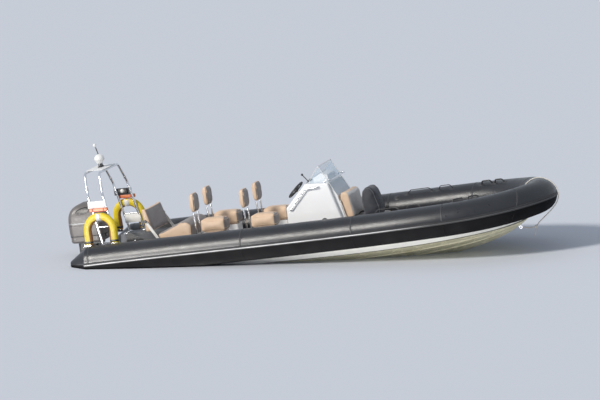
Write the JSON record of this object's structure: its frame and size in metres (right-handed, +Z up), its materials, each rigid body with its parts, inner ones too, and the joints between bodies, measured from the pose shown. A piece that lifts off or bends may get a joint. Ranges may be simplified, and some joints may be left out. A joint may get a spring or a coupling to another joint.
{
  "type": "rigid inflatable boat",
  "caption": "Rigid inflatable boat: black collar on a V hull, centre console with windscreen, straddle seats, aft bench, steel arch and an outboard motor that tilts and steers.",
  "frame": {"origin": "on the centreline, on the plane of the waterline at rest, half way along the boat", "axes": "+X forward, +Y port, +Z up"},
  "size_m": [8.7194, 2.789, 3.025],
  "materials": {
    "hull_gelcoat": "off-white gelcoat over glass fibre, stained cream below the waterline",
    "collar_fabric": "satin black coated fabric",
    "deck_gelcoat": "off-white non-slip gelcoat",
    "white_gelcoat": "bright white gelcoat",
    "white_plastic": "white plastic",
    "stainless": "polished stainless steel",
    "upholstery": "beige upholstery with taupe faces",
    "arm_paint": "white coated aluminium",
    "black_fabric": "black coated fabric",
    "black_plastic": "black plastic",
    "buoy_cover": "yellow foam-filled cover",
    "orange_plastic": "orange plastic",
    "screen_glass": "clear acrylic sheet",
    "cowl_paint": "warm grey lacquer",
    "motor_paint": "dark grey paint on aluminium",
    "powerhead_metal": "cast aluminium engine block",
    "propeller_metal": "stainless steel",
    "rope": "beige twisted rope"
  },
  "bodies": {
    "boat": {"hull": "hull_gelcoat", "collar": "collar_fabric", "rubbing_strake": "collar_fabric", "quarter_plates": "collar_fabric", "deck": "deck_gelcoat", "transom": "deck_gelcoat", "quarter_lockers": "deck_gelcoat", "console": "white_gelcoat", "jockey_pods": "white_gelcoat", "bench_locker": "white_gelcoat", "front_seat_locker": "white_gelcoat", "instrument_pod": "white_gelcoat", "arch_plates": "white_gelcoat", "aerial_dome": "white_plastic", "all_round_light": "white_plastic", "arch_hoop_aft": "stainless", "arch_hoop_fore": "stainless", "arch_side_bars": "stainless", "jockey_posts": "stainless", "console_rails": "stainless", "towing_eyes": "stainless", "hatch_hinges": "stainless", "bow_cleat": "stainless", "jockey_cushions": "upholstery", "jockey_backs": "upholstery", "bench_cushion": "upholstery", "bench_back": "upholstery", "front_seat_cushion": "upholstery", "front_seat_back": "upholstery", "bench_arms": "arm_paint", "raft_valise": "black_fabric", "collar_handles": "black_plastic", "throttle": "black_plastic", "horseshoe_buoys": "buoy_cover", "buoy_lights": "orange_plastic", "windscreen": "screen_glass", "clamp_bracket": "motor_paint", "painter": "rope", "painter_knot": "rope", "painter_strop": "rope"},
    "swivel": {"swivel_bracket": "motor_paint"},
    "outboard": {"mid_section": "motor_paint", "gearcase": "motor_paint", "cowl_top": "cowl_paint", "cowl_pan": "cowl_paint", "powerhead": "powerhead_metal"},
    "propeller": {"propeller": "propeller_metal"},
    "wheel": {"steering_wheel": "black_plastic"},
    "lid": {"hatch_lid": "deck_gelcoat"}
  },
  "joints": [
    {"name": "outboard_tilt", "type": "hinge", "parent": "boat", "child": "swivel", "pos_m": [-3.932, 0, 0.355], "axis": [0, 1, 0], "range_deg": [0, 60]},
    {"name": "outboard_steer", "type": "hinge", "parent": "swivel", "child": "outboard", "pos_m": [-4.08, 0, 0.2], "axis": [0, 0, 1], "range_deg": [-30, 30]},
    {"name": "propeller_spin", "type": "hinge", "parent": "outboard", "child": "propeller", "pos_m": [-4.445, 0, -0.655], "axis": [1, 0, 0], "continuous": true},
    {"name": "steering_wheel_turn", "type": "hinge", "parent": "boat", "child": "wheel", "pos_m": [-0.37484, -0.15, 1.06375], "axis": [0.7071, 0, -0.7071], "range_deg": [-600, 600]},
    {"name": "hatch_lid_hinge", "type": "hinge", "parent": "boat", "child": "lid", "pos_m": [3.09158, 0, 0.39882], "axis": [0, 1, 0], "range_deg": [0, 85]}
  ],
  "couplings": [
    {"joint": "steering_wheel_turn", "follows": "outboard_steer", "ratio": 20}
  ]
}
